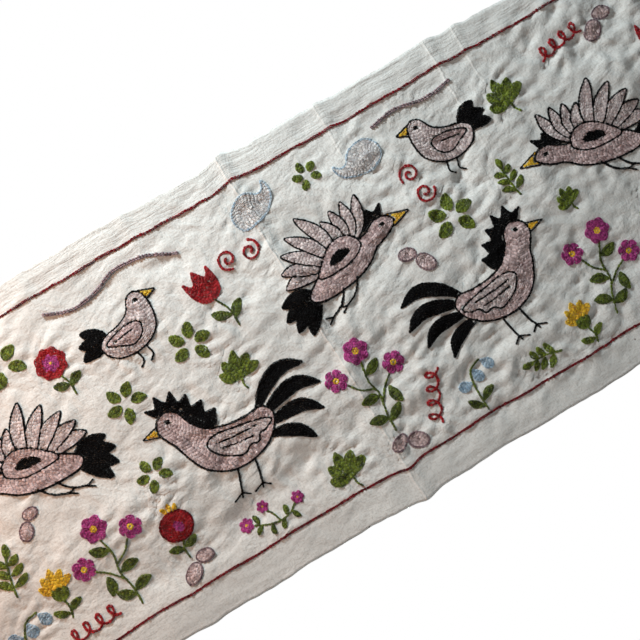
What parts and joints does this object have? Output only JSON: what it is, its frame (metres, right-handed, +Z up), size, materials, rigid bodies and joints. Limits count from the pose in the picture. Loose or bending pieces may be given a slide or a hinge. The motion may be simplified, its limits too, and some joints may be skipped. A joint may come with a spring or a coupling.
{
  "type": "embroidered suzani wall hanging",
  "caption": "Long cotton panel with turned hems, worked in chain stitch with birds, flowers and leaves, hanging flat by its top edge with soft storage creases.",
  "frame": {"origin": "middle of the panel's top edge, where it hangs", "axes": "+X along the top edge, +Y towards the wall, so the worked face looks along -Y, +Z up"},
  "size_m": [1.5, 0.0181, 0.5119],
  "materials": {
    "cotton_cloth": "plain woven, matt, natural off-white",
    "embroidery_thread": "twisted embroidery thread, soft satin"
  },
  "bodies": {
    "root": {"cloth_panel": "cotton_cloth"}
  },
  "joints": []
}
